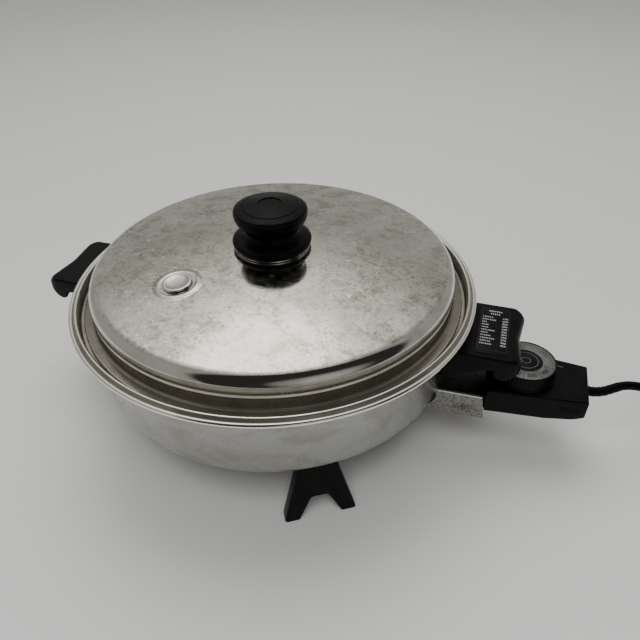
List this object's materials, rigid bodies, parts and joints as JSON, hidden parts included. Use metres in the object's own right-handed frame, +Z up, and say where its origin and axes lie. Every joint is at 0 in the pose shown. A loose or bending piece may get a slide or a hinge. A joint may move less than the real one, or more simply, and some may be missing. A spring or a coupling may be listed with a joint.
{
  "type": "electric skillet",
  "caption": "Round stainless electric skillet with domed lid, steam vent, side handles, three splayed legs and a plug-in thermostat control with its cord.",
  "frame": {"origin": "on the surface the legs stand on, under the middle of the appliance's box, its free cord left out", "axes": "+Z up, +X along the handles from the pan towards the control, and Y across; the pan's axis is at x = -0.0385 m, y = 0"},
  "size_m": [0.5959, 0.31, 0.1781],
  "materials": {
    "steel_pan": "satin, lightly stained",
    "steel_wall": "satin with smudges",
    "aluminium_plate": "plain rolled",
    "element_sheath": "heat-darkened",
    "pins": "nickel plated",
    "insulator": "glazed ceramic",
    "sleeve": "drawn tube",
    "steel_lid": "polished, hazy, with stains",
    "knob_black": "black phenolic, semi-gloss",
    "washer_steel": "polished",
    "vent_steel": "polished",
    "guard_steel": "bright rolled, rust specks",
    "guide_print": "dark panel with pale print",
    "block_brown": "brown phenolic",
    "socket_brass": "plain brass",
    "probe_steel": "drawn tube, dulled",
    "frame_steel": "zinc plated",
    "blade_metal": "bimetal strip",
    "spring_bronze": "phosphor bronze",
    "contact_metal": "plain contact metal",
    "lead_sleeve": "woven glass sleeving",
    "mark_white": "moulded mark, pale",
    "dial_black": "black, ribbed",
    "scale_silver": "brushed with dark print",
    "cap_black": "black with pale ornament",
    "shaft_steel": "plain",
    "relief_rubber": "matt",
    "cord_black": "matt black jacket",
    "tie_black": "matt",
    "plug_black": "moulded",
    "blade_brass": "plain brass",
    "case_black": "black phenolic, faintly dusty",
    "phenolic_black": "black phenolic, satin",
    "fixing_steel": "zinc plated"
  },
  "bodies": {
    "skillet": {"pan": "steel_pan", "outer_shell": "steel_wall", "heat_spreader": "aluminium_plate", "heating_element": "element_sheath", "element_pins": "pins", "pin_insulators": "insulator", "probe_sleeve": "sleeve", "leg_front": "phenolic_black", "leg_rear": "phenolic_black", "leg_side": "phenolic_black", "leg_studs": "fixing_steel", "leg_nuts": "fixing_steel", "handle_right": "phenolic_black", "handle_left": "phenolic_black", "handle_bracket_right": "fixing_steel", "handle_bracket_left": "fixing_steel", "handle_screws": "fixing_steel", "guide_plate": "guide_print", "probe_guard": "guard_steel"},
    "lid": {"lid": "steel_lid", "lid_knob": "knob_black", "knob_washer": "washer_steel", "knob_screw": "fixing_steel", "screw_washer": "washer_steel", "vent_seat": "vent_steel"},
    "vent": {"vent_cap": "vent_steel", "vent_retainer": "vent_steel"},
    "control": {"case_top": "case_black", "case_bottom": "case_black", "terminal_block": "block_brown", "terminal_sockets": "socket_brass", "probe": "probe_steel", "probe_collar": "probe_steel", "thermostat_frame": "frame_steel", "bimetal_blade": "blade_metal", "contact_springs": "spring_bronze", "contact_points": "contact_metal", "power_leads": "lead_sleeve", "case_screws": "fixing_steel", "index_mark": "mark_white", "strain_relief": "relief_rubber", "cord": "cord_black", "cord_coil": "cord_black", "cord_tie": "tie_black", "plug_body": "plug_black", "plug_blades": "blade_brass"},
    "dial": {"dial": "dial_black", "dial_ring": "scale_silver", "dial_cap": "cap_black", "dial_shaft": "shaft_steel"}
  },
  "joints": [
    {"name": "lid_lift", "type": "slide", "parent": "skillet", "child": "lid", "axis": [0, 0, 1], "range_m": [0, 0.14]},
    {"name": "vent_lift", "type": "slide", "parent": "lid", "child": "vent", "axis": [-0.0671, -0.0891, 0.9938], "range_m": [0, 0.003]},
    {"name": "control_pull", "type": "slide", "parent": "skillet", "child": "control", "axis": [1, 0, 0], "range_m": [0, 0.09]},
    {"name": "dial_turn", "type": "hinge", "parent": "control", "child": "dial", "pos_m": [0.16046, 0, 0.07], "axis": [0, 0, 1], "range_deg": [-35, 265]}
  ]
}
